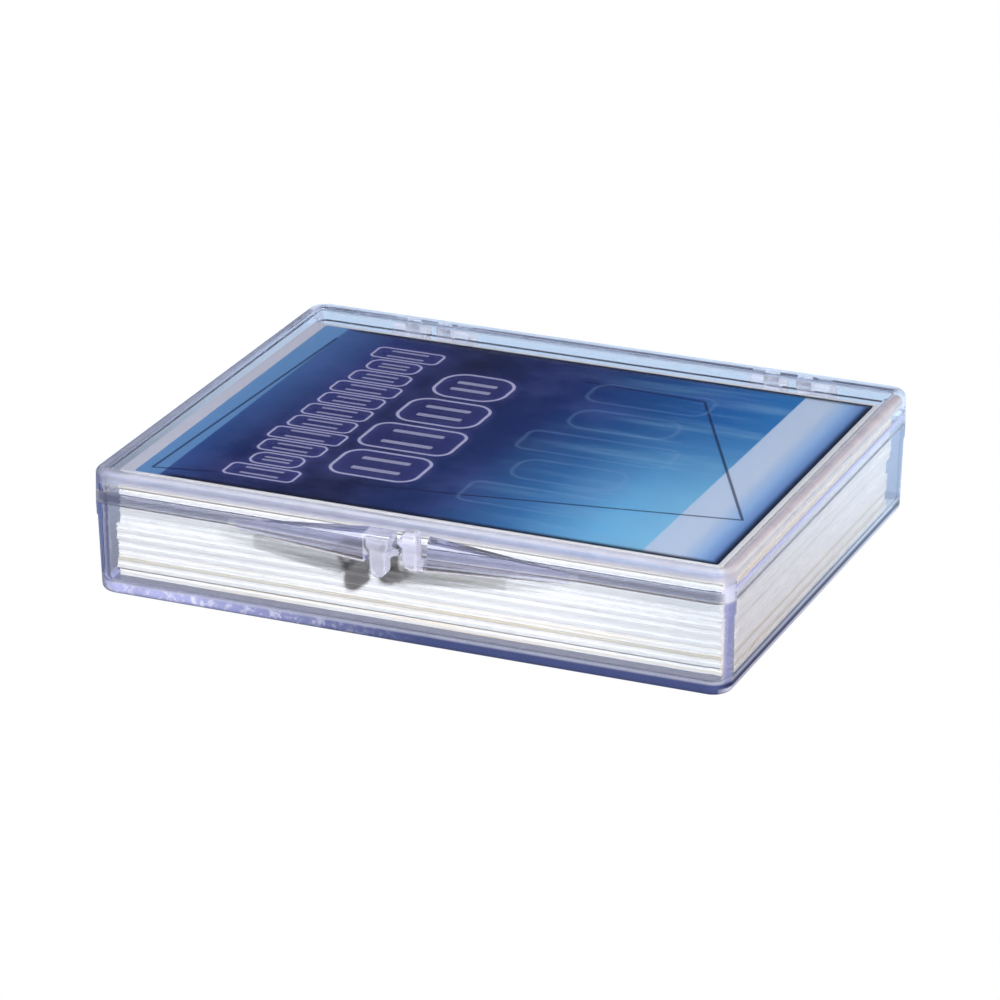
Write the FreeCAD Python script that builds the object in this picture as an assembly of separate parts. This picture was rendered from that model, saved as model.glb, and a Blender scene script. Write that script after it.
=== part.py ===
"""Hinged clear plastic box for a deck of fifty trading cards.

The box is two mouldings: a deep tray and a shallow lid. The tray's knuckles carry stub pins
that the lid's knuckles snap over. At the front each moulding has half of a tapered thumb ledge
and one clasp tab: the lid's hangs down, the tray's stands up beside it. The cards lie flat.

Frame: origin on the resting plane under the middle of the box. +X runs along the hinge axis,
+Y points to the hinge side and +Z points up. Millimetres. The lid is shown closed.
"""
import FreeCAD, Part
import math
import os

# Outline of the box, measured at the parting plane, where the walls are widest
HALF_LENGTH = 46.9
HALF_DEPTH = 37.0
HEIGHT = 18.1
PARTING_Z = 13.45
PARTING_GAP = 0.06
WALL = 1.55
FLOOR = 1.5
TOP = 1.1
DRAFT = math.tan(math.radians(1.25))
INNER_DRAFT = math.tan(math.radians(1.0))
CORNER_RADIUS = 2.8
BOTTOM_EDGE_RADIUS = 0.9
TOP_EDGE_RADIUS = 0.8
INNER_EDGE_RADIUS = 0.7

# Rim: the tray's ends step out a little, and its lip stands up inside the rebated lid
RIM_STEP_Z = 11.35
RIM_STEP_OUT = 0.15
RIM_WALL = 0.8
LIP_TOP_Z = 14.85
LIP_SIDE_CLEARANCE = 0.12
LIP_END_CLEARANCE = 0.15

# Hinge
HINGE_BEHIND_WALL = 2.3
HINGE_Y = HALF_DEPTH + HINGE_BEHIND_WALL
KNUCKLE_RADIUS = 2.1
KNUCKLE_WIDTH = 2.3
KNUCKLE_GAP = 0.15
MIDDLE_GAP = 2.7
PIN_RADIUS = 0.9
PIN_CLEARANCE = 0.05
PIN_OVERHANG = 0.3
HINGE_X = 28.3
ARM_DROP = 3.0

# Thumb ledge: a low wedge in plan and in elevation, shared by the two mouldings
LEDGE_HALF_LENGTH = 26.0
LEDGE_HALF_FLAT = 4.4
LEDGE_REACH = 2.65
LEDGE_TOP_MIDDLE = 16.6
LEDGE_TOP_END = 14.45
LEDGE_BOTTOM_MIDDLE = 12.5
LEDGE_BOTTOM_END = 13.0

# Clasp tabs
TAB_FRONT_Y = -HALF_DEPTH - 3.4
TAB_THICKNESS = 1.75
TAB_EDGE_RADIUS = 0.35
LID_TAB_LEFT = -3.8
LID_TAB_RIGHT = -0.45
TRAY_TAB_LEFT = 1.55
TRAY_TAB_RIGHT = 3.75
TAB_SIDE_CLEARANCE = 0.5
NOTCH_RIGHT_AT_WALL = 4.35
NOTCH_RIGHT_AT_FRONT = 5.5

# Cards
CARD_LENGTH = 88.9
CARD_DEPTH = 63.5
CARD_THICKNESS = 0.28
CARD_AIR = 0.01
WIDE_AIR = 0.055
STACK_LIFT = 0.03
STACK_CENTRE_Y = -0.8
COVER_CARD_X = 0.4
COVER_CARD_Y = -0.35

# Batches of cards that were squared up together, from the bottom of the stack:
# how many cards, the shift of the batch along X and Y, and its turn in degrees
BATCHES = [
    (4, 0.05, 0.10, 0.00),
    (5, -0.12, -0.22, 0.04),
    (9, -0.06, 0.12, -0.05),
    (8, -0.16, -0.10, 0.03),
    (7, 0.22, 0.32, -0.04),
    (6, 0.30, 0.10, 0.06),
    (5, 0.16, 0.35, -0.06),
    (5, 0.34, -0.05, 0.10),
]
# Small repeating misalignment of single cards inside a batch
JITTER_X = [0.00, 0.07, -0.05, 0.10, -0.08, 0.03, -0.02]
JITTER_Y = [0.00, -0.08, 0.06, 0.11, -0.04, -0.12, 0.05, 0.02, -0.06]

EXTRA = 1.0


def box_between(low, high):
    """A box from its lowest to its highest corner."""
    size = [b - a for a, b in zip(low, high)]
    return Part.makeBox(size[0], size[1], size[2], FreeCAD.Vector(*low))


def edges_at_height(shape, z):
    """The edges that lie in the horizontal plane at z."""
    return [e for e in shape.Edges if all(abs(v.Z - z) < 1e-6 for v in e.Vertexes)]


def upright_edges(shape):
    """The edges that run from the bottom to the top."""
    box = shape.BoundBox
    return [e for e in shape.Edges if e.BoundBox.ZLength > 0.9 * box.ZLength]


def drafted_block(half_x, half_y, z_low, z_high, draft, corner_radius, edge_radius=0.0):
    """A block with leaning walls and rounded upright corners.

    half_x and half_y hold at the parting plane. A positive draft narrows the block below that
    plane, a negative one narrows it above. edge_radius rounds the block's narrow end.
    """
    low = (z_low - PARTING_Z) * draft
    high = (z_high - PARTING_Z) * draft
    block = Part.makeWedge(
        -half_x - low, z_low, -half_y - low, -half_y - high, -half_x - high,
        half_x + low, z_high, half_y + low, half_y + high, half_x + high,
    )
    block = Part.Solid(block) if block.ShapeType != "Solid" else block
    block.rotate(FreeCAD.Vector(0, 0, 0), FreeCAD.Vector(1, 0, 0), 90)
    block = block.makeFillet(corner_radius, upright_edges(block))
    if edge_radius > 0:
        end_z = z_low if draft > 0 else z_high
        block = block.makeFillet(edge_radius, edges_at_height(block, end_z))
    return block


def prism_along_y(profile_edges, y_low, y_high):
    """A solid from an outline drawn in the XZ plane, spanning y_low to y_high."""
    face = Part.Face(Part.Wire(profile_edges))
    face.translate(FreeCAD.Vector(0, y_low, 0))
    return face.extrude(FreeCAD.Vector(0, y_high - y_low, 0))


def straight_outline(points):
    """Edges of a closed outline through points that are FreeCAD vectors."""
    return Part.makePolygon(points + points[:1]).Edges


def cylinder_along_x(radius, x_low, x_high):
    """A cylinder on the hinge axis."""
    start = FreeCAD.Vector(x_low, HINGE_Y, PARTING_Z)
    return Part.makeCylinder(radius, x_high - x_low, start, FreeCAD.Vector(1, 0, 0))


def knuckle_pairs():
    """X spans of the knuckles: (side, tray span, lid span), side +1 where the pin points to +X."""
    pairs = []
    for middle in (-HINGE_X, HINGE_X):
        for side in (1, -1):
            lid_inner = middle - side * MIDDLE_GAP / 2
            lid_outer = lid_inner - side * KNUCKLE_WIDTH
            tray_inner = lid_outer - side * KNUCKLE_GAP
            tray_outer = tray_inner - side * KNUCKLE_WIDTH
            pairs.append((side, (tray_outer, tray_inner), (lid_outer, lid_inner)))
    return pairs


def knuckle(x_from, x_to, arm_side):
    """One knuckle with the arm that joins it to the back wall: arm_side -1 below the parting
    plane, +1 above it."""
    x_low = min(x_from, x_to)
    x_high = max(x_from, x_to)
    wall_y = HALF_DEPTH - WALL / 2
    near_z = PARTING_Z + arm_side * PARTING_GAP / 2
    points = [
        FreeCAD.Vector(x_low, wall_y, near_z),
        FreeCAD.Vector(x_low, HINGE_Y, near_z),
        FreeCAD.Vector(x_low, HINGE_Y, PARTING_Z + arm_side * KNUCKLE_RADIUS),
        FreeCAD.Vector(x_low, wall_y, PARTING_Z + arm_side * ARM_DROP),
    ]
    arm = Part.Face(Part.Wire(straight_outline(points))).extrude(FreeCAD.Vector(x_high - x_low, 0, 0))
    return arm.fuse(cylinder_along_x(KNUCKLE_RADIUS, x_low, x_high))


def ledge():
    """The whole thumb ledge, before it is parted and notched for the tabs."""
    root_y = -HALF_DEPTH + WALL / 2
    front_y = -HALF_DEPTH - LEDGE_REACH
    side_y = -HALF_DEPTH + 0.05
    plan = [
        FreeCAD.Vector(-LEDGE_HALF_LENGTH, root_y, 0),
        FreeCAD.Vector(-LEDGE_HALF_LENGTH, side_y, 0),
        FreeCAD.Vector(-LEDGE_HALF_FLAT, front_y, 0),
        FreeCAD.Vector(LEDGE_HALF_FLAT, front_y, 0),
        FreeCAD.Vector(LEDGE_HALF_LENGTH, side_y, 0),
        FreeCAD.Vector(LEDGE_HALF_LENGTH, root_y, 0),
    ]
    elevation = [
        FreeCAD.Vector(-LEDGE_HALF_LENGTH, 0, LEDGE_BOTTOM_END),
        FreeCAD.Vector(-LEDGE_HALF_FLAT, 0, LEDGE_BOTTOM_MIDDLE),
        FreeCAD.Vector(LEDGE_HALF_FLAT, 0, LEDGE_BOTTOM_MIDDLE),
        FreeCAD.Vector(LEDGE_HALF_LENGTH, 0, LEDGE_BOTTOM_END),
        FreeCAD.Vector(LEDGE_HALF_LENGTH, 0, LEDGE_TOP_END),
        FreeCAD.Vector(LEDGE_HALF_FLAT, 0, LEDGE_TOP_MIDDLE),
        FreeCAD.Vector(-LEDGE_HALF_FLAT, 0, LEDGE_TOP_MIDDLE),
        FreeCAD.Vector(-LEDGE_HALF_LENGTH, 0, LEDGE_TOP_END),
    ]
    plan_solid = Part.Face(Part.Wire(straight_outline(plan))).extrude(FreeCAD.Vector(0, 0, HEIGHT))
    elevation_solid = prism_along_y(straight_outline(elevation), front_y - EXTRA, root_y + EXTRA)
    return plan_solid.common(elevation_solid)


def ledge_half(part, notch_points):
    """The ledge above (part +1) or below (part -1) the parting plane, less a notch in plan."""
    reach = HALF_LENGTH
    if part > 0:
        keep = box_between((-reach, -2 * HALF_DEPTH, PARTING_Z + PARTING_GAP / 2), (reach, 0, HEIGHT))
    else:
        keep = box_between((-reach, -2 * HALF_DEPTH, 0), (reach, 0, PARTING_Z - PARTING_GAP / 2))
    half = ledge().common(keep)
    points = [FreeCAD.Vector(x, y, 0) for x, y in notch_points]
    notch = Part.Face(Part.Wire(straight_outline(points))).extrude(FreeCAD.Vector(0, 0, HEIGHT))
    return half.cut(notch)


def outline_from(points):
    """Edges of a closed outline in the XZ plane. Each item is (x, z), or (x, z, x, z) for an
    arc that passes its first point and ends at its second."""
    edges = []
    last = FreeCAD.Vector(points[0][-2], 0, points[0][-1])
    first = last
    for item in points[1:]:
        end = FreeCAD.Vector(item[-2], 0, item[-1])
        if len(item) == 4:
            edges.append(Part.Arc(last, FreeCAD.Vector(item[0], 0, item[1]), end).toShape())
        else:
            edges.append(Part.LineSegment(last, end).toShape())
        last = end
    edges.append(Part.LineSegment(last, first).toShape())
    return edges


def tab_solid(points):
    """A clasp tab with a rounded front, from its outline in the XZ plane."""
    tab = prism_along_y(outline_from(points), TAB_FRONT_Y, TAB_FRONT_Y + TAB_THICKNESS)
    front = [e for e in tab.Edges if e.BoundBox.YMax < TAB_FRONT_Y + 0.01]
    return tab.makeFillet(TAB_EDGE_RADIUS, front)


def lid_tab():
    """The tab that hangs from the lid: wide shoulders, a narrower body and a rounded tip."""
    body_left = LID_TAB_LEFT + 0.5
    body_right = LID_TAB_RIGHT - 0.35
    shoulder_top = 16.45
    shoulder_bottom = 15.2
    body_top = 14.5
    tip_start = 11.8
    tip = 10.7
    middle = (body_left + body_right) / 2
    tab = tab_solid([
        (LID_TAB_LEFT, shoulder_top),
        (LID_TAB_LEFT, shoulder_bottom),
        (body_left, body_top),
        (body_left + 0.15, tip_start),
        (body_left + 0.5, tip + 0.3, middle, tip),
        (body_right - 0.3, tip + 0.45, body_right, tip_start + 0.5),
        (body_right, body_top),
        (LID_TAB_RIGHT, shoulder_bottom),
        (LID_TAB_RIGHT, shoulder_top),
    ])
    nub_depth = 0.85
    nub = prism_along_y(
        outline_from([
            (body_right - 0.3, 15.1),
            (body_right - 0.3, 13.6),
            (TRAY_TAB_LEFT - 0.8, 14.15),
            (TRAY_TAB_LEFT - 0.75, 14.4, TRAY_TAB_LEFT - 0.8, 14.65),
        ]),
        TAB_FRONT_Y + TAB_THICKNESS - nub_depth,
        TAB_FRONT_Y + TAB_THICKNESS,
    )
    return tab.fuse(nub)


def tray_tab():
    """The tab that stands up from the tray, with a rounded root and a snap nub on its left."""
    top = 18.0
    root = LEDGE_BOTTOM_MIDDLE
    return tab_solid([
        (TRAY_TAB_RIGHT, root),
        (TRAY_TAB_RIGHT, top - 0.5),
        (TRAY_TAB_RIGHT - 0.15, top - 0.15, TRAY_TAB_RIGHT - 0.5, top),
        (TRAY_TAB_LEFT + 0.8, top),
        (TRAY_TAB_LEFT + 0.25, top - 0.2, TRAY_TAB_LEFT, top - 0.75),
        (TRAY_TAB_LEFT, 17.0),
        (TRAY_TAB_LEFT - 0.42, 16.8),
        (TRAY_TAB_LEFT - 0.66, 16.35, TRAY_TAB_LEFT - 0.42, 15.9),
        (TRAY_TAB_LEFT, 15.6),
        (TRAY_TAB_LEFT, root + 1.5),
        (TRAY_TAB_LEFT + 0.45, root + 0.45, TRAY_TAB_LEFT + 1.4, root),
    ])


def tray():
    """The deep moulding: floor, walls, rim with its lip, hinge knuckles with pins, ledge and tab."""
    rim_z = PARTING_Z - PARTING_GAP / 2
    shell = drafted_block(
        HALF_LENGTH - RIM_STEP_OUT, HALF_DEPTH, 0, rim_z, DRAFT, CORNER_RADIUS, BOTTOM_EDGE_RADIUS
    )
    rim_band = drafted_block(HALF_LENGTH, HALF_DEPTH, RIM_STEP_Z, rim_z, DRAFT, CORNER_RADIUS)
    shell = shell.fuse(rim_band)
    lip_inset = RIM_WALL + LIP_SIDE_CLEARANCE
    lip = drafted_block(
        HALF_LENGTH - lip_inset, HALF_DEPTH - lip_inset, PARTING_Z - EXTRA / 2, LIP_TOP_Z, -DRAFT,
        CORNER_RADIUS - lip_inset,
    )
    shell = shell.fuse(lip)
    for side, tray_span, lid_span in knuckle_pairs():
        shell = shell.fuse(knuckle(tray_span[0], tray_span[1], -1))
        pin_start = tray_span[0] + side * KNUCKLE_WIDTH / 2
        pin_end = lid_span[1] + side * PIN_OVERHANG
        pin = cylinder_along_x(PIN_RADIUS, min(pin_start, pin_end), max(pin_start, pin_end))
        shell = shell.fuse(pin)
    notch_front = TAB_FRONT_Y - EXTRA
    half = ledge_half(-1, [
        (LID_TAB_LEFT - TAB_SIDE_CLEARANCE, -HALF_DEPTH - 0.1),
        (LID_TAB_LEFT - TAB_SIDE_CLEARANCE, notch_front),
        (TRAY_TAB_LEFT, notch_front),
        (TRAY_TAB_LEFT, -HALF_DEPTH - 0.1),
    ])
    shell = shell.fuse(half)
    shell = shell.fuse(tray_tab())
    inner_half_x = HALF_LENGTH - WALL
    inner_half_y = HALF_DEPTH - WALL
    cavity = drafted_block(
        inner_half_x, inner_half_y, FLOOR, LIP_TOP_Z + EXTRA, INNER_DRAFT,
        CORNER_RADIUS - WALL, INNER_EDGE_RADIUS,
    )
    return shell.cut(cavity).removeSplitter()


def lid():
    """The shallow moulding: top, rebated walls, hinge knuckles with pin holes, ledge and tab."""
    rim_z = PARTING_Z + PARTING_GAP / 2
    shell = drafted_block(
        HALF_LENGTH, HALF_DEPTH, rim_z, HEIGHT, -DRAFT, CORNER_RADIUS, TOP_EDGE_RADIUS
    )
    rebate = drafted_block(
        HALF_LENGTH - RIM_WALL, HALF_DEPTH - RIM_WALL, PARTING_Z - EXTRA, LIP_TOP_Z + LIP_END_CLEARANCE,
        -DRAFT, CORNER_RADIUS - RIM_WALL,
    )
    cavity = drafted_block(
        HALF_LENGTH - WALL, HALF_DEPTH - WALL, PARTING_Z - EXTRA, HEIGHT - TOP, -INNER_DRAFT,
        CORNER_RADIUS - WALL, INNER_EDGE_RADIUS,
    )
    for side, tray_span, lid_span in knuckle_pairs():
        shell = shell.fuse(knuckle(lid_span[0], lid_span[1], 1))
    notch_front = TAB_FRONT_Y - EXTRA
    notch_back = -HALF_DEPTH - 0.15
    half = ledge_half(1, [
        (LID_TAB_RIGHT, notch_back),
        (LID_TAB_RIGHT, notch_front),
        (NOTCH_RIGHT_AT_FRONT, notch_front),
        (NOTCH_RIGHT_AT_WALL, notch_back),
    ])
    shell = shell.fuse(half)
    shell = shell.fuse(lid_tab())
    shell = shell.cut(cavity).cut(rebate)
    for side, tray_span, lid_span in knuckle_pairs():
        x_low = min(lid_span) - EXTRA / 2
        x_high = max(lid_span) + EXTRA / 2
        shell = shell.cut(cylinder_along_x(PIN_RADIUS + PIN_CLEARANCE, x_low, x_high))
    return shell.removeSplitter()


def card(shift_x, shift_y, turn, z_low):
    """One card, turned by a small angle about its middle and then shifted."""
    corner = FreeCAD.Vector(-CARD_LENGTH / 2, -CARD_DEPTH / 2, 0)
    blank = Part.makeBox(CARD_LENGTH, CARD_DEPTH, CARD_THICKNESS, corner)
    blank.rotate(FreeCAD.Vector(0, 0, 0), FreeCAD.Vector(0, 0, 1), turn)
    blank.translate(FreeCAD.Vector(shift_x, STACK_CENTRE_Y + shift_y, z_low))
    return blank


def card_stack():
    """All cards, from the bottom up, by node name. The last one is the printed cover card."""
    cards = {}
    z_low = FLOOR + STACK_LIFT
    number = 0
    for count, batch_x, batch_y, turn in BATCHES:
        for _ in range(count):
            shift_x = batch_x + JITTER_X[number % len(JITTER_X)]
            shift_y = batch_y + JITTER_Y[number % len(JITTER_Y)]
            number += 1
            cards["card_%02d" % number] = card(shift_x, shift_y, turn, z_low)
            z_low += CARD_THICKNESS + CARD_AIR
        z_low += WIDE_AIR - CARD_AIR
    cards["cover_card"] = card(COVER_CARD_X, COVER_CARD_Y, 0, z_low)
    return cards


def main():
    parts = {"tray": tray(), "lid": lid()}
    parts.update(card_stack())
    os.makedirs("parts", exist_ok=True)
    for name, shape in parts.items():
        shape.exportStep(os.path.join("parts", name + ".step"))
        if name in ("tray", "lid", "cover_card"):
            box = shape.BoundBox
            print(name, shape.ShapeType, len(shape.Solids), shape.isValid(), round(shape.Volume, 2))
            print("  z", round(box.ZMin, 3), round(box.ZMax, 3), "y", round(box.YMin, 3), round(box.YMax, 3))
    print("cards", sum(1 for name in parts if "card" in name))


main()
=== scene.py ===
"""Looks of the hinged card box: clear polystyrene mouldings around a stack of cards.

Metres, in the row's frame: +X along the hinge axis, +Y to the hinge side, +Z up. The shapes are
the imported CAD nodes; this script gives them their materials and adds the studio.
"""
import math

import bpy
from mathutils import Matrix, Vector

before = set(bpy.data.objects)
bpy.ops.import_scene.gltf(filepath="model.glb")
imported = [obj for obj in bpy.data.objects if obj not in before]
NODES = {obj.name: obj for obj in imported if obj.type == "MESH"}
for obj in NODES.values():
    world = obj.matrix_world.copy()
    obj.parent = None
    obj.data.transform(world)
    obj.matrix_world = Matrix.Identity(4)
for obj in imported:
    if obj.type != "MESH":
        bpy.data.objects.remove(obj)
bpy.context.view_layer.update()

MM = 0.001

# Camera: a long lens looking down at the clasp side from its right
CAMERA_AZIMUTH = math.radians(23.05)
CAMERA_ELEVATION = math.radians(22.236)
CAMERA_ROLL = math.radians(-0.089)
CAMERA_DISTANCE = 0.69177
CAMERA_SIDESTEP = 0.001196
CAMERA_RISE = 0.00183
CAMERA_AIM_HEIGHT = 0.00914
LENS_MM = 177.26
SENSOR_MM = 36.0

# Clear polystyrene. The shadow tints are what each crossed surface leaves of a lamp's light. They were
# chosen, because lamps shine straight through the plastic here without bending.
PLASTIC_IOR = 1.59
PLASTIC_ROUGHNESS = 0.03
PLASTIC_TINT = (0.99, 0.99, 1.0, 1.0)
ABSORPTION_COLOUR = (0.20, 0.28, 0.80, 1.0)
ABSORPTION_DENSITY = 22.0
WALL_SHADOW_TINT = (0.94, 0.945, 0.95, 1.0)
LEDGE_SHADOW_TINT = (0.85, 0.85, 0.84, 1.0)
LEDGE_RIM_SHADOW_TINT = (0.60, 0.60, 0.59, 1.0)
TAB_SHADOW_TINT = (0.42, 0.41, 0.39, 1.0)

# Clasp: everything past CLASP_SIDE_Y, a thumb ledge that tapers to its ends and two tabs
CLASP_SIDE_Y = -37.15 * MM
TABS_HALF_LENGTH = 4.4 * MM
LEDGE_HALF_LENGTH = 26.0 * MM
LEDGE_TAPER = 21.6 * MM
LEDGE_REACH = 2.65 * MM
LEDGE_RIM_SHARE = 0.80

# Stretches of the plastic painted milky or tinted as painted light: painted reflections, painted highlights
# and glints, and painted shade, standing for what thick edges mirror and scatter as seen from the camera. A
# pair says where a stretch starts to show and where it is full.
WALL_X = (44.9 * MM, 45.9 * MM)
WALL_Y = (34.9 * MM, 35.9 * MM)
LID_RIM_Z = (15.9 * MM, 16.8 * MM)
TRAY_RIM_Z = (2.3 * MM, 1.5 * MM)
REAR_RIM_Y = 33.0 * MM
RIGHT_WALL_X = 45.2 * MM
RIGHT_WALL_Y = (-36.9 * MM, -34.6 * MM)
RIGHT_FOOT_Z = (0.8 * MM, 1.2 * MM)
TRAY_RIM_DARKENS_X = (-46.0 * MM, 5.0 * MM)
CORNER_X = (45.4 * MM, 46.1 * MM)
CORNER_Y = (33.9 * MM, 34.9 * MM)
CORNER_PALE_Z = (13.1 * MM, 13.5 * MM)
REAR_CORNER_X = (41.8 * MM, 42.6 * MM)
REAR_CORNER_Y = (34.2 * MM, 34.7 * MM)
REAR_CORNER_TOP_Z = (13.4 * MM, 13.0 * MM)
FRONT_WALL_Y = -36.2 * MM
FRONT_WALL_HALF = 0.8 * MM
LIP_FOOT_Z = (13.4 * MM, 13.7 * MM)
LIP_TOP_Z = (14.95 * MM, 14.7 * MM)
LIP_LINE_FOOT_Z = (14.6 * MM, 14.8 * MM)
LIP_LINE_TOP_Z = (15.15 * MM, 14.95 * MM)
PAINTED_GLINTS_X = (5.0 * MM, -30.0 * MM)

# Light table and surroundings, as seen through the plastic and as lamps. The table turns from its
# front colour to its back colour over FLOOR_TURN_Y.
FLOOR_FRONT = (0.26, 0.28, 0.38, 1.0)
FLOOR_BACK = (0.86, 1.10, 1.36, 1.0)
FLOOR_TURN_Y = (-0.03, 0.07)
FLOOR_FILL = (0.32, 0.32, 0.32, 1.0)
WORLD_FILL = (0.38, 0.38, 0.385, 1.0)
SHINE = (0.50, 0.51, 0.53, 1.0)
DARK_SHINE = (0.03, 0.035, 0.07, 1.0)
FLOOR_SIZE = 8.0

# Longest light path, in bounces of each kind
BOUNCES = 32

# Card colours. FRONT_SHADE is painted shade on the right part of the front, and the warm colour after it is
# painted warm light on the right end; both multiply the card colours and stand for uneven light there.
CARD_WHITE = (0.90, 0.90, 0.90, 1.0)
CARD_PATCH = (0.74, 0.77, 0.78, 1.0)
CARD_FIBRE = (0.62, 0.64, 0.64, 1.0)
CARD_TINTED = (0.86, 0.80, 0.70, 1.0)
CARD_BROWN = (0.66, 0.62, 0.52, 1.0)
# Colours of the painted shade lines between cards.
GREY_LINE = (0.42, 0.46, 0.50, 1.0)
BROWN_LINE = (0.50, 0.42, 0.32, 1.0)
DARK_LINE = (0.34, 0.33, 0.30, 1.0)
CREAM = (0.80, 0.64, 0.40, 1.0)
FRONT_SHADE = (0.72, 0.76, 0.78, 1.0)
FRONT_SHADE_X = (18.0 * MM, 44.0 * MM)
END_PAINTED_WARM_LIGHT = (1.10, 1.00, 0.92, 1.0)
CARD_END_X = 44.2 * MM

# Which cards, counted from the bottom, differ from clean white
BROWN_CARDS = (4, 9)
LINED_CARDS = (14, 23, 31)
CREAMY_CARDS = (26, 38)
LAST_LOW_CREAMY_CARD = 12
FIRST_TINTED_CARD = 44

# Printed area of the cover card and the height of its face
PRINT_LEFT = -42.0 * MM
PRINT_FRONT = -32.6 * MM
PRINT_WIDTH = 85.6 * MM
PRINT_DEPTH = 62.6 * MM
COVER_TOP_Z = 16.38 * MM
TOP_SLACK = 0.03 * MM


def shader_tree(name):
    """A new material with an empty node tree: (material, tree)."""
    material = bpy.data.materials.new(name)
    material.use_nodes = True
    tree = material.node_tree
    tree.nodes.clear()
    return material, tree


class Maker:
    """Short ways to add and link shader nodes in one tree."""

    def __init__(self, tree):
        self.tree = tree

    def node(self, kind, **values):
        made = self.tree.nodes.new(kind)
        for key, value in values.items():
            setattr(made, key, value)
        return made

    def link(self, output, socket):
        self.tree.links.new(output, socket)

    def feed(self, socket, value):
        """Links value if it is an output, and sets it if it is a number or a colour."""
        if isinstance(value, bpy.types.NodeSocket):
            self.link(value, socket)
        else:
            socket.default_value = value

    def math(self, operation, first, second=0.0, third=0.0):
        made = self.node("ShaderNodeMath", operation=operation)
        for socket, value in zip(made.inputs, (first, second, third)):
            self.feed(socket, value)
        return made.outputs[0]

    def ramp(self, value, low, high, out_low=0.0, out_high=1.0):
        """value mapped smoothly from low..high to out_low..out_high and clamped."""
        made = self.node("ShaderNodeMapRange", interpolation_type="SMOOTHSTEP")
        for name, number in (
            ("Value", value), ("From Min", low), ("From Max", high),
            ("To Min", out_low), ("To Max", out_high),
        ):
            self.feed(made.inputs[name], number)
        return made.outputs["Result"]

    def both(self, first, second):
        """The overlap of two masks."""
        return self.math("MULTIPLY", first, second)

    def mix(self, factor, first, second, blend="MIX"):
        """A mix of two colours."""
        made = self.node("ShaderNodeMix", data_type="RGBA", blend_type=blend)
        self.feed(made.inputs[0], factor)
        self.feed(made.inputs[6], first)
        self.feed(made.inputs[7], second)
        return made.outputs[2]

    def noise(self, vector, scale, detail=2.0, roughness=0.5):
        made = self.node("ShaderNodeTexNoise")
        self.feed(made.inputs["Vector"], vector)
        made.inputs["Scale"].default_value = scale
        made.inputs["Detail"].default_value = detail
        made.inputs["Roughness"].default_value = roughness
        return made.outputs["Fac"]

    def place(self):
        """Object coordinates, which are metres in the row's frame."""
        return self.node("ShaderNodeTexCoord").outputs["Object"]

    def stretched(self, vector, x, y, z):
        made = self.node("ShaderNodeMapping")
        self.link(vector, made.inputs["Vector"])
        made.inputs["Scale"].default_value = (x, y, z)
        return made.outputs["Vector"]

    def split(self, vector):
        made = self.node("ShaderNodeSeparateXYZ")
        self.link(vector, made.inputs[0])
        return made.outputs

    def bump(self, height, strength, distance):
        made = self.node("ShaderNodeBump")
        self.feed(made.inputs["Height"], height)
        made.inputs["Strength"].default_value = strength
        made.inputs["Distance"].default_value = distance
        return made.outputs["Normal"]


def linear(red, green, blue):
    """A display colour, 0 to 255 per channel, as a linear shader colour."""
    values = [channel / 255.0 for channel in (red, green, blue)]
    return tuple(v / 12.92 if v < 0.04045 else ((v + 0.055) / 1.055) ** 2.4 for v in values) + (1.0,)


def clasp_masks(make, place):
    """Masks for all that stands out in front of the box, and for the two tabs alone."""
    axes = make.split(place)
    ledge = make.math("LESS_THAN", axes[1], CLASP_SIDE_Y)
    near_middle = make.math("LESS_THAN", make.math("ABSOLUTE", axes[0]), TABS_HALF_LENGTH)
    return ledge, make.both(ledge, near_middle)


def ledge_rim(make, place):
    """A mask for the outer edge of the thumb ledge, which tapers from its middle to its ends."""
    axes = make.split(place)
    from_end = make.math("SUBTRACT", LEDGE_HALF_LENGTH, make.math("ABSOLUTE", axes[0]))
    share = make.math("MINIMUM", make.math("DIVIDE", from_end, LEDGE_TAPER), 1.0)
    share = make.math("MAXIMUM", share, 0.0)
    start = make.math("MULTIPLY_ADD", share, -LEDGE_RIM_SHARE * LEDGE_REACH, CLASP_SIDE_Y)
    return make.math("LESS_THAN", axes[1], start)


def rim_masks(make, place):
    """Masks, by name, for the stretches of the mouldings that carry painted reflections, highlights and
    shade.
    """
    right, back, z = make.split(place)
    x = make.math("ABSOLUTE", right)
    y = make.math("ABSOLUTE", back)
    in_wall = make.math("MAXIMUM", make.ramp(x, *WALL_X), make.ramp(y, *WALL_Y))
    right_wall = make.math("GREATER_THAN", right, RIGHT_WALL_X)
    right_wall = make.both(right_wall, make.ramp(back, *RIGHT_WALL_Y))
    lid_rim = make.both(in_wall, make.ramp(z, *LID_RIM_Z))
    rear_corner = make.both(make.ramp(x, *REAR_CORNER_X), make.ramp(back, *REAR_CORNER_Y))
    lip = make.both(make.ramp(z, *LIP_FOOT_Z), make.ramp(z, *LIP_TOP_Z))
    lip_line = make.both(make.ramp(z, *LIP_LINE_FOOT_Z), make.ramp(z, *LIP_LINE_TOP_Z))
    ledge, tabs = clasp_masks(make, place)
    return {
        "right_wall": right_wall,
        "front_lip": make.both(lip, make.math("COMPARE", back, FRONT_WALL_Y, FRONT_WALL_HALF)),
        "lip_line": make.both(lip_line, right_wall),
        "corner": make.both(make.ramp(x, *CORNER_X), make.ramp(y, *CORNER_Y)),
        "rear_corner": make.both(rear_corner, make.ramp(z, *REAR_CORNER_TOP_Z)),
        "lid_rim": lid_rim,
        "rear_rim": make.both(lid_rim, make.math("GREATER_THAN", back, REAR_RIM_Y)),
        "tray_rim": make.both(in_wall, make.ramp(z, *TRAY_RIM_Z)),
        "hinge": make.math("GREATER_THAN", back, -CLASP_SIDE_Y),
        "ledge": ledge,
        "tabs": tabs,
    }


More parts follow.
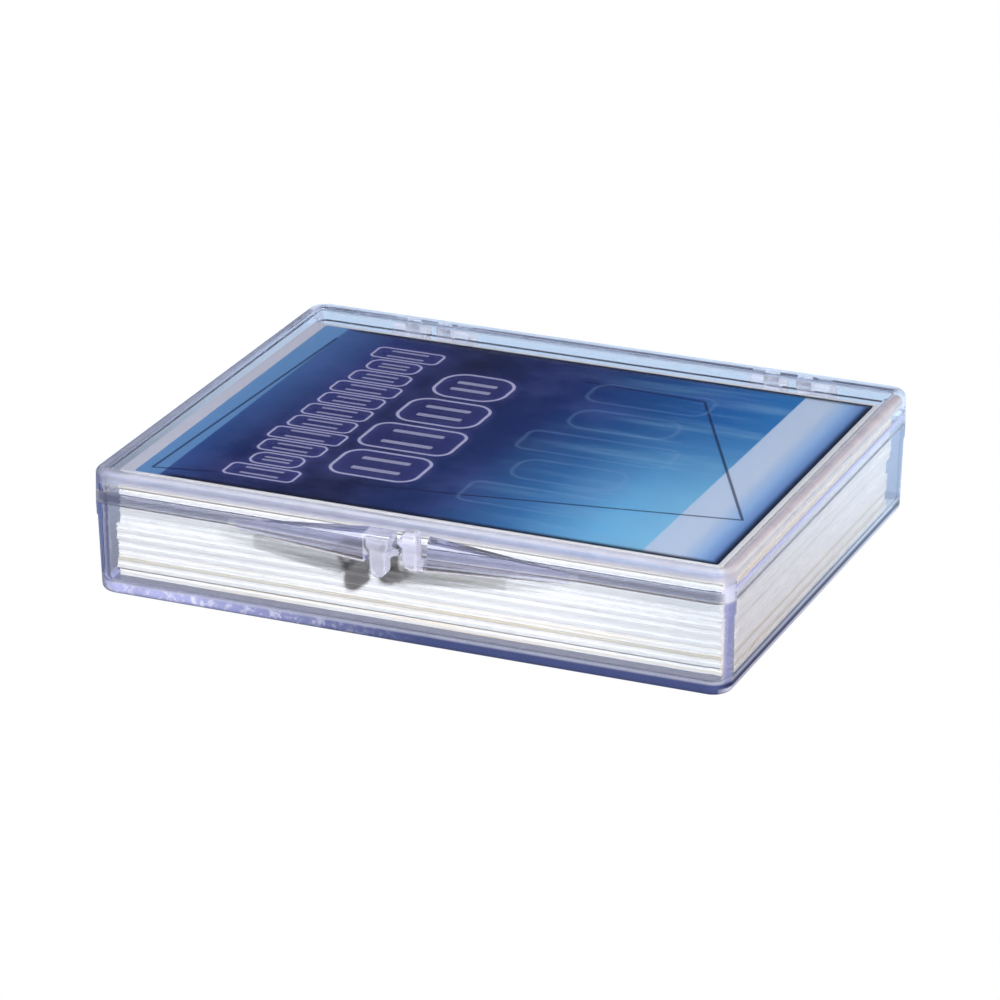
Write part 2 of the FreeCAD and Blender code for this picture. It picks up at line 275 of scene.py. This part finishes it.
def painted_rim_colours(make, place, right_wall):
    """Painted reflection colours that change along the box: of the corners, the lid's rim and the tray's rim.
    """
    right, _, z = make.split(place)
    corner = make.mix(make.ramp(z, *CORNER_PALE_Z), linear(158, 158, 196), linear(204, 204, 220))
    lid_rim = make.mix(right_wall, linear(166, 170, 190), linear(192, 184, 184))
    # The tray's rim: a pale painted reflection at the left that darkens to a navy painted reflection at the
    # right.
    tray_rim = make.mix(make.ramp(right, *TRAY_RIM_DARKENS_X), linear(176, 178, 224), linear(56, 65, 106))
    # At the right wall the rim is a navy painted reflection above a pale bottom edge.
    right_foot = make.mix(make.ramp(z, *RIGHT_FOOT_Z), linear(196, 192, 206), linear(14, 20, 56))
    return corner, lid_rim, make.mix(right_wall, tray_rim, right_foot)


def painted_rim_light(make, place):
    """How much painted light the plastic carries at each place, as a milky share, and its colour there.

    The colours are painted by place, to match the look from the camera's side: painted reflections on the
    corners, rims, ledge and tabs, a painted highlight line and painted highlights on the hinge, and painted
    shade in the rear corners and along the front lip. They include what the rims mirror in this studio, so
    they aren't a property of the plastic itself.
    """
    masks = rim_masks(make, place)
    corner_colour, lid_rim_colour, tray_rim_colour = painted_rim_colours(make, place, masks["right_wall"])
    painted_light_share = 0.0
    tint_and_painted_light = PLASTIC_TINT
    # front_lip is a faint painted shade, lip_line a painted highlight line, rear_corner painted shade, hinge
    # painted highlights, and the other stretches painted reflections.
    for name, amount, colour in (
        ("front_lip", 0.02, linear(196, 198, 210)),
        ("lip_line", 0.75, linear(168, 166, 210)),
        ("corner", 0.38, corner_colour),
        ("rear_corner", 0.26, linear(132, 140, 168)),
        ("lid_rim", 0.50, lid_rim_colour),
        ("rear_rim", 0.66, linear(206, 224, 246)),
        ("tray_rim", 0.72, tray_rim_colour),
        ("hinge", 0.42, linear(250, 252, 255)),
        ("ledge", 0.04, linear(224, 224, 248)),
        ("tabs", 0.30, linear(236, 236, 254)),
    ):
        painted_light_share = make.math("MULTIPLY_ADD", masks[name], make.math("SUBTRACT", amount, painted_light_share), painted_light_share)
        tint_and_painted_light = make.mix(masks[name], tint_and_painted_light, colour)
    # Painted glints: pale specks on the tray's rim and the corners, strongest at the left end.
    painted_glints = make.ramp(make.noise(place, 1000.0, 3.0, 0.7), 0.46, 0.66)
    painted_glints = make.both(painted_glints, make.math("MAXIMUM", masks["tray_rim"], masks["corner"]))
    painted_glints = make.both(painted_glints, make.ramp(make.split(place)[0], *PAINTED_GLINTS_X, 0.0, 0.55))
    tint_and_painted_light = make.mix(painted_glints, tint_and_painted_light, linear(246, 246, 255))
    uneven = make.noise(make.stretched(place, 220.0, 220.0, 500.0), 1.0, 3.0, 0.6)
    return make.both(painted_light_share, make.ramp(uneven, 0.30, 0.70, 0.85, 1.08)), tint_and_painted_light


def clear_plastic(name, seed):
    """Polished clear polystyrene: bends and tints light, with painted reflections, highlights and shade on
    its rims, faint flow and scuffs.

    seed moves the flow and the scuffs, so the two mouldings differ.
    """
    material, tree = shader_tree(name)
    make = Maker(tree)
    out = make.node("ShaderNodeOutputMaterial")
    shader = make.node("ShaderNodeBsdfPrincipled")
    shader.inputs["IOR"].default_value = PLASTIC_IOR
    place = make.place()
    painted_light_share, tint_and_painted_light = painted_rim_light(make, place)
    # The painted light goes in as base colour, and its share comes off the transmission.
    make.link(tint_and_painted_light, shader.inputs["Base Color"])
    make.link(make.math("SUBTRACT", 1.0, painted_light_share), shader.inputs["Transmission Weight"])
    shifted = make.node("ShaderNodeVectorMath", operation="ADD")
    make.link(place, shifted.inputs[0])
    shifted.inputs[1].default_value = (seed, 2.0 * seed, 0.0)
    spot = shifted.outputs[0]
    flow = make.noise(make.stretched(spot, 60.0, 25.0, 60.0), 1.0, 3.0)
    scuffs = make.noise(make.stretched(spot, 900.0, 140.0, 500.0), 1.0, 4.0, 0.7)
    scuff_mask = make.ramp(scuffs, 0.62, 0.80)
    roughness = make.math("MULTIPLY_ADD", scuff_mask, 0.05, PLASTIC_ROUGHNESS)
    make.link(roughness, shader.inputs["Roughness"])
    height = make.math("MULTIPLY_ADD", scuff_mask, 0.02, flow)
    make.link(make.bump(height, 0.12, 0.0004), shader.inputs["Normal"])
    clear = make.node("ShaderNodeBsdfTransparent")
    ledge, tabs = clasp_masks(make, place)
    shade = make.mix(ledge, WALL_SHADOW_TINT, LEDGE_SHADOW_TINT)
    shade = make.mix(ledge_rim(make, place), shade, LEDGE_RIM_SHADOW_TINT)
    make.link(make.mix(tabs, shade, TAB_SHADOW_TINT), clear.inputs["Color"])
    path = make.node("ShaderNodeLightPath")
    mix = make.node("ShaderNodeMixShader")
    make.link(path.outputs["Is Shadow Ray"], mix.inputs[0])
    make.link(shader.outputs[0], mix.inputs[1])
    make.link(clear.outputs[0], mix.inputs[2])
    make.link(mix.outputs[0], out.inputs["Surface"])
    absorb = make.node("ShaderNodeVolumeAbsorption")
    absorb.inputs["Color"].default_value = ABSORPTION_COLOUR
    absorb.inputs["Density"].default_value = ABSORPTION_DENSITY
    make.link(absorb.outputs[0], out.inputs["Volume"])
    return material


def card_stock(name, white, line, warmth, line_strength=0.09):
    """White card seen mostly by its cut edges: fibrous, with soft broken lines of painted shade between
    cards.

    white and line are the colours of the cut edge and of the painted shade lines. warmth adds cream streaks,
    and line_strength is how dark the lines get.
    """
    material, tree = shader_tree(name)
    make = Maker(tree)
    out = make.node("ShaderNodeOutputMaterial")
    shader = make.node("ShaderNodeBsdfPrincipled")
    place = make.place()
    generated = make.node("ShaderNodeTexCoord").outputs["Generated"]
    height_in_card = make.split(generated)[2]
    from_middle = make.math("ABSOLUTE", make.math("SUBTRACT", height_in_card, 0.5))
    slanted = make.node("ShaderNodeMapping")
    make.link(place, slanted.inputs["Vector"])
    slanted.inputs["Rotation"].default_value = (math.radians(11.0), math.radians(11.0), 0.0)
    slanted.inputs["Scale"].default_value = (520.0, 520.0, 5200.0)
    fibres = make.noise(slanted.outputs["Vector"], 1.0, 4.0, 0.65)
    wave = make.noise(make.stretched(place, 160.0, 160.0, 2500.0), 1.0, 3.0)
    patch = make.noise(make.stretched(place, 60.0, 60.0, 300.0), 1.0, 2.0)
    # Painted shade in the gaps between cards: each cut edge darkens towards its top and bottom, broken up by
    # noise.
    edge_start = make.ramp(wave, 0.35, 0.65, 0.22, 0.46)
    edge = make.ramp(from_middle, edge_start, 0.5)
    gap_shade_amount = make.both(edge, make.ramp(fibres, 0.42, 0.66, 0.4 * line_strength, line_strength))
    clean = make.mix(make.ramp(patch, 0.35, 0.68), white, make.mix(0.15, white, CARD_PATCH))
    clean = make.mix(make.ramp(fibres, 0.45, 0.62, 0.0, 0.28), clean, CARD_FIBRE)
    across = make.split(place)[0]
    # Painted shade on the right part of the front, and painted warm light on the right end.
    clean = make.mix(make.ramp(across, *FRONT_SHADE_X, 0.0, 0.6), clean, FRONT_SHADE, "MULTIPLY")
    right_end = make.math("GREATER_THAN", across, CARD_END_X)
    clean = make.mix(right_end, clean, END_PAINTED_WARM_LIGHT, "MULTIPLY")
    cream = make.ramp(make.noise(make.stretched(place, 25.0, 25.0, 3000.0), 1.0, 2.0), 0.52, 0.66)
    toned = make.mix(make.math("MULTIPLY", cream, warmth), clean, CREAM)
    make.link(make.mix(gap_shade_amount, toned, line), shader.inputs["Base Color"])
    shader.inputs["Roughness"].default_value = 0.75
    shader.inputs["Specular IOR Level"].default_value = 0.25
    make.link(make.bump(fibres, 0.25, 0.00005), shader.inputs["Normal"])
    make.link(shader.outputs[0], out.inputs["Surface"])
    return material


class Sheet(Maker):
    """Maker for a flat print. u runs 0..1 left to right and v 0..1 front to back.

    x, y, width, depth and all distances are in millimetres.
    """

    def __init__(self, tree, left, front, width, depth):
        super().__init__(tree)
        place = self.split(self.place())
        self.x = self.math("MULTIPLY", self.math("SUBTRACT", place[0], left), 1 / MM)
        self.y = self.math("MULTIPLY", self.math("SUBTRACT", place[1], front), 1 / MM)
        self.width = width / MM
        self.depth = depth / MM
        self.u = self.math("DIVIDE", self.x, self.width)
        self.v = self.math("DIVIDE", self.y, self.depth)

    def colours(self, value, stops):
        """A colour ramp through (position, colour) stops."""
        made = self.node("ShaderNodeValToRGB")
        self.feed(made.inputs[0], value)
        elements = made.color_ramp.elements
        while len(elements) < len(stops):
            elements.new(0.5)
        for element, (position, colour) in zip(elements, stops):
            element.position = position
            element.color = colour
        return made.outputs[0]

    def line_to(self, start, end):
        """Distance to the segment between two points given in millimetres."""
        across = (end[0] - start[0], end[1] - start[1])
        length2 = across[0] ** 2 + across[1] ** 2
        dx = self.math("SUBTRACT", self.x, start[0])
        dy = self.math("SUBTRACT", self.y, start[1])
        dot_y = self.math("MULTIPLY", dy, across[1] / length2)
        dot = self.math("MULTIPLY_ADD", dx, across[0] / length2, dot_y)
        along = self.math("MAXIMUM", self.math("MINIMUM", dot, 1.0), 0.0)
        off_x = self.math("MULTIPLY_ADD", along, -across[0], dx)
        off_y = self.math("MULTIPLY_ADD", along, -across[1], dy)
        return self.length(off_x, off_y)

    def length(self, x, y):
        squares = self.math("MULTIPLY_ADD", x, x, self.math("MULTIPLY", y, y))
        return self.math("SQRT", squares)

    def polyline(self, points):
        """Distance to a chain of segments."""
        distance = None
        for start, end in zip(points, points[1:]):
            segment = self.line_to(start, end)
            distance = segment if distance is None else self.math("MINIMUM", distance, segment)
        return distance

    def rounded_box(self, x, y, half_x, half_y, radius):
        """Signed distance to a box with rounded corners; sizes may be sockets."""
        over_x = self.math("SUBTRACT", self.math("ABSOLUTE", x), self.math("SUBTRACT", half_x, radius))
        over_y = self.math("SUBTRACT", self.math("ABSOLUTE", y), self.math("SUBTRACT", half_y, radius))
        outside = self.length(self.math("MAXIMUM", over_x, 0.0), self.math("MAXIMUM", over_y, 0.0))
        inside = self.math("MINIMUM", self.math("MAXIMUM", over_x, over_y), 0.0)
        return self.math("SUBTRACT", self.math("ADD", outside, inside), radius)

    def badges(self, middle_x, low_y, high_y, count, half_x, half_y, seed):
        """A column of framed badges with bars inside: (frame distance, bar distance).

        The badges vary in width and in how round they are; they carry no characters.
        """
        pitch = (high_y - low_y) / count
        place = self.math("DIVIDE", self.math("SUBTRACT", self.y, low_y), pitch)
        cell = self.math("FLOOR", place)
        cell = self.math("MAXIMUM", self.math("MINIMUM", cell, count - 1.0), 0.0)
        in_cell = self.math("SUBTRACT", place, cell)
        local_y = self.math("MULTIPLY", self.math("SUBTRACT", in_cell, 0.5), pitch)
        local_x = self.math("SUBTRACT", self.x, middle_x)
        pick = self.node("ShaderNodeTexWhiteNoise", noise_dimensions="1D")
        self.feed(pick.inputs["W"], self.math("ADD", cell, seed))
        chance = pick.outputs["Value"]
        wide = self.math("MULTIPLY_ADD", chance, 0.35 * half_x, 0.72 * half_x)
        radius = self.math("MULTIPLY_ADD", chance, -0.45 * half_y, 0.80 * half_y)
        frame_line = self.rounded_box(local_x, local_y, wide, half_y, radius)
        bar_half = self.math("MULTIPLY", wide, 0.55)
        bar_off = self.math("MULTIPLY_ADD", chance, 0.3 * half_y, 0.25 * half_y)
        bar_y = self.math("SUBTRACT", self.math("ABSOLUTE", local_y), bar_off)
        bar = self.rounded_box(local_x, bar_y, bar_half, 0.10 * half_y, 0.05 * half_y)
        return frame_line, bar


def cover_print(name):
    """The printed face of the top card: a made-up blue design inside a thin white border."""
    material, tree = shader_tree(name)
    make = Sheet(tree, PRINT_LEFT, PRINT_FRONT, PRINT_WIDTH, PRINT_DEPTH)
    out = make.node("ShaderNodeOutputMaterial")
    shader = make.node("ShaderNodeBsdfPrincipled")
    navy = linear(16, 22, 58)
    front_tones = make.colours(make.u, [
        (0.0, linear(66, 118, 190)), (0.05, linear(44, 78, 142)), (0.12, linear(24, 38, 90)), (0.32, navy),
        (0.50, linear(28, 52, 108)), (0.64, linear(62, 124, 186)), (0.78, linear(122, 200, 250)),
        (0.885, linear(146, 218, 255)),
    ])
    back_tones = make.colours(make.u, [
        (0.0, linear(105, 150, 205)), (0.05, linear(75, 110, 170)), (0.15, linear(44, 56, 115)), (0.32, navy),
        (0.52, linear(22, 44, 104)), (0.66, linear(28, 80, 146)), (0.80, linear(34, 108, 180)),
        (0.885, linear(48, 128, 198)),
    ])
    ground = make.mix(make.ramp(make.v, 0.10, 0.85), front_tones, back_tones)
    slanted = make.node("ShaderNodeMapping")
    make.link(make.place(), slanted.inputs["Vector"])
    slanted.inputs["Rotation"].default_value = (0.0, 0.0, math.radians(-38.0))
    slanted.inputs["Scale"].default_value = (26.0, 210.0, 1.0)
    rays = make.noise(slanted.outputs["Vector"], 1.0, 3.0, 0.6)
    ray_area = make.math("MULTIPLY", make.ramp(make.u, 0.45, 0.75), make.ramp(make.u, 0.93, 0.86))
    ray_amount = make.math("MULTIPLY", make.ramp(rays, 0.45, 0.78), ray_area)
    ground = make.mix(make.math("MULTIPLY", ray_amount, 0.45), ground, linear(150, 205, 240))
    cloud = make.noise(make.place(), 90.0, 4.0, 0.6)
    ground = make.mix(make.ramp(cloud, 0.4, 0.75, 0.0, 0.16), ground, linear(120, 130, 210))

    side = make.colours(make.u, [
        (0.86, linear(206, 228, 255)), (0.93, linear(214, 232, 255)), (0.965, linear(158, 198, 248)),
        (1.0, linear(66, 112, 186)),
    ])
    slope = make.math("MULTIPLY_ADD", make.v, 0.012, 0.872)
    ground = make.mix(make.ramp(make.math("SUBTRACT", make.u, slope), -0.0015, 0.0015), ground, side)
    strip = make.ramp(make.u, 0.046, 0.042)
    ground = make.mix(make.math("MULTIPLY", strip, 0.85), ground, linear(118, 168, 222))

    width, depth = make.width, make.depth
    rule = make.polyline([
        (0.044 * width, 0.93 * depth), (0.02 * width, 0.035 * depth), (0.25 * width, 0.10 * depth),
        (0.52 * width, 0.15 * depth), (0.972 * width, 0.25 * depth), (0.735 * width, 0.875 * depth),
        (0.52 * width, 0.89 * depth),
    ])
    rule_amount = make.math("MULTIPLY", make.ramp(rule, 0.30, 0.12), 0.8)
    ground = make.mix(rule_amount, ground, linear(22, 26, 62))

    glow_colour = linear(222, 222, 250)
    for middle, low, high, count, half_x, half_y, seed in (
        (0.192 * width, 0.060 * depth, 0.925 * depth, 11, 5.2, 2.05, 3.0),
        (0.356 * width, 0.150 * depth, 0.840 * depth, 4, 7.2, 4.6, 9.0),
    ):
        frame_line, bar = make.badges(middle, low, high, count, half_x, half_y, seed)
        line_half = 0.02 * half_y + 0.07
        inside = make.ramp(frame_line, 0.1, -0.1)
        ground = make.mix(make.math("MULTIPLY", inside, 0.55), ground, linear(58, 60, 122))
        glow = make.ramp(make.math("ABSOLUTE", frame_line), 1.5, 0.0)
        ground = make.mix(make.math("MULTIPLY", glow, 0.30), ground, linear(84, 86, 160))
        drawn = make.ramp(make.math("ABSOLUTE", frame_line), line_half + 0.14, line_half)
        ground = make.mix(make.math("MULTIPLY", drawn, 0.75), ground, glow_colour)
        bars = make.ramp(bar, 0.14, -0.05)
        ground = make.mix(make.math("MULTIPLY", bars, 0.55), ground, glow_colour)
    ghost_line = make.badges(0.65 * width, 0.10 * depth, 0.92 * depth, 5, 11.0, 3.6, 17.0)[0]
    ghost = make.math("MULTIPLY", make.ramp(make.math("ABSOLUTE", ghost_line), 0.5, 0.1), 0.16)
    ground = make.mix(ghost, ground, linear(150, 190, 235))

    half_width, half_depth = width / 2, depth / 2
    from_x = make.math("SUBTRACT", make.x, half_width)
    from_y = make.math("SUBTRACT", make.y, half_depth)
    rim = make.rounded_box(from_x, from_y, half_width, half_depth, 0.4)
    dark_rim = make.math("MULTIPLY", make.ramp(rim, -1.5, -0.3), make.ramp(make.u, 0.03, 0.08))
    ground = make.mix(make.math("MULTIPLY", dark_rim, 0.97), ground, linear(8, 8, 18))
    printed = make.ramp(rim, 0.05, -0.05)
    on_top = make.math("GREATER_THAN", make.split(make.place())[2], COVER_TOP_Z - TOP_SLACK)
    printed = make.math("MULTIPLY", printed, on_top)
    # The border is painted greyer and bluer towards its left side: painted shade.
    border = make.mix(make.ramp(make.u, -0.01, 0.03), linear(224, 226, 240), linear(243, 244, 246))
    make.link(make.mix(printed, border, ground), shader.inputs["Base Color"])
    shader.inputs["Roughness"].default_value = 0.6
    shader.inputs["Specular IOR Level"].default_value = 0.03
    make.link(shader.outputs[0], out.inputs["Surface"])
    return material


def seen_through_glass(make, path):
    """1 for the eye's own rays once they have been bent or mirrored, 0 for light falling on things."""
    bent = make.math("MAXIMUM", path["Is Transmission Ray"], path["Is Glossy Ray"])
    return make.math("MULTIPLY", bent, make.math("LESS_THAN", path["Diffuse Depth"], 0.5))


def floor_material():
    """A light table. Seen directly it is white, and it lights the cards only faintly.

    Through the box it is lavender grey in front and pale blue behind.
    """
    material, tree = shader_tree("floor_paper")
    make = Maker(tree)
    out = make.node("ShaderNodeOutputMaterial")
    shader = make.node("ShaderNodeEmission")
    path = make.node("ShaderNodeLightPath").outputs
    depth = make.split(make.place())[1]
    seen_through = make.mix(make.ramp(depth, *FLOOR_TURN_Y), FLOOR_FRONT, FLOOR_BACK)
    colour = make.mix(seen_through_glass(make, path), FLOOR_FILL, seen_through)
    make.link(make.mix(path["Is Camera Ray"], colour, (1.0, 1.0, 1.0, 1.0)), shader.inputs["Color"])
    shader.inputs["Strength"].default_value = 1.0
    make.link(shader.outputs[0], out.inputs["Surface"])
    return material


def assign(node_name, material):
    data = NODES[node_name].data
    data.materials.clear()
    data.materials.append(material)


def dress_nodes():
    assign("tray", clear_plastic("tray_polystyrene", 0.3))
    assign("lid", clear_plastic("lid_polystyrene", 0.7))
    clean = card_stock("card_stock", CARD_WHITE, GREY_LINE, 0.0)
    creamy = card_stock("card_stock_creamy", CARD_WHITE, GREY_LINE, 0.6)
    tinted = card_stock("card_stock_tinted", CARD_TINTED, BROWN_LINE, 1.0, 0.5)
    brown = card_stock("card_stock_brown", CARD_BROWN, BROWN_LINE, 0.3)
    lined = card_stock("card_stock_lined", CARD_WHITE, DARK_LINE, 0.0, 0.75)
    for name in NODES:
        if name.startswith("card_"):
            number = int(name.split("_")[1])
            if number in BROWN_CARDS:
                assign(name, brown)
            elif number >= FIRST_TINTED_CARD:
                assign(name, tinted)
            elif number in LINED_CARDS:
                assign(name, lined)
            elif number <= LAST_LOW_CREAMY_CARD or number in CREAMY_CARDS:
                assign(name, creamy)
            else:
                assign(name, clean)
    assign("cover_card", cover_print("cover_print"))


def add_camera():
    azimuth, elevation, roll = CAMERA_AZIMUTH, CAMERA_ELEVATION, CAMERA_ROLL
    back = Vector((
        math.sin(azimuth) * math.cos(elevation),
        -math.cos(azimuth) * math.cos(elevation),
        math.sin(elevation),
    ))
    level = Vector((math.cos(azimuth), math.sin(azimuth), 0.0))
    rise = back.cross(level)
    right = math.cos(roll) * level + math.sin(roll) * rise
    up = -math.sin(roll) * level + math.cos(roll) * rise
    middle = Vector((0.0, 0.0, CAMERA_AIM_HEIGHT))
    data = bpy.data.cameras.new("camera")
    data.lens = LENS_MM
    data.sensor_width = SENSOR_MM
    data.clip_end = 20.0
    camera = bpy.data.objects.new("camera", data)
    bpy.context.scene.collection.objects.link(camera)
    turn = Matrix((right, up, back)).transposed().to_4x4()
    spot = middle + back * CAMERA_DISTANCE - right * CAMERA_SIDESTEP - up * CAMERA_RISE
    camera.matrix_world = Matrix.Translation(spot) @ turn
    bpy.context.scene.camera = camera


def add_area_light(name, azimuth_deg, elevation_deg, distance, size, watts, mirrored=True):
    """A square softbox aimed at the box. Azimuth counts from -Y towards +X.

    With mirrored off, the lamp is neither mirrored by a surface nor seen through the plastic.
    """
    azimuth = math.radians(azimuth_deg)
    elevation = math.radians(elevation_deg)
    direction = Vector((
        math.sin(azimuth) * math.cos(elevation),
        -math.cos(azimuth) * math.cos(elevation),
        math.sin(elevation),
    ))
    data = bpy.data.lights.new(name, "AREA")
    data.size = size
    data.energy = watts
    light = bpy.data.objects.new(name, data)
    light.visible_glossy = mirrored
    light.visible_transmission = mirrored
    light.location = direction * distance
    light.rotation_euler = direction.to_track_quat("Z", "Y").to_euler()
    bpy.context.scene.collection.objects.link(light)


def studio_world():
    """Grey surroundings, lighter in what the plastic mirrors or bends, but dark low behind the box."""
    world = bpy.data.worlds.new("studio")
    world.use_nodes = True
    tree = world.node_tree
    background = tree.nodes["Background"]
    make = Maker(tree)
    direction = make.split(make.node("ShaderNodeTexCoord").outputs["Generated"])
    behind = make.ramp(direction[1], 0.15, 0.65)
    low = make.ramp(direction[2], 0.62, 0.42)
    path = make.node("ShaderNodeLightPath").outputs
    mirrored = make.math("LESS_THAN", path["Ray Depth"], 6.5)
    dark = make.math("MULTIPLY", make.math("MULTIPLY", behind, low), mirrored)
    shine = make.mix(dark, SHINE, DARK_SHINE)
    make.link(make.mix(seen_through_glass(make, path), WORLD_FILL, shine), background.inputs["Color"])
    bpy.context.scene.world = world


def add_studio():
    """The surroundings, the lamps and the floor. The back lamp only keeps the far side legible."""
    studio_world()
    add_area_light("key", 41.0, 29.0, 1.2, 0.05, 28.0)
    add_area_light("top", -20.0, 75.0, 1.2, 0.9, 2.0)
    add_area_light("back", 222.0, 7.0, 1.5, 0.22, 14.0, mirrored=False)
    bpy.ops.mesh.primitive_plane_add(size=FLOOR_SIZE)
    floor = bpy.context.object
    floor.name = "floor"
    floor.data.materials.append(floor_material())


def set_light_paths():
    """Long light paths, so that light trapped in the clear walls gets out again.

    Lamps reach the cards straight through the walls, so bent light isn't counted a second time.
    """
    cycles = bpy.context.scene.cycles
    cycles.max_bounces = BOUNCES
    cycles.glossy_bounces = BOUNCES
    cycles.transmission_bounces = BOUNCES
    cycles.transparent_max_bounces = BOUNCES
    cycles.caustics_reflective = False
    cycles.caustics_refractive = False


def set_colour_management():
    settings = bpy.context.scene.view_settings
    settings.view_transform = "Standard"
    settings.look = "None"


add_camera()
add_studio()
set_light_paths()
set_colour_management()
dress_nodes()
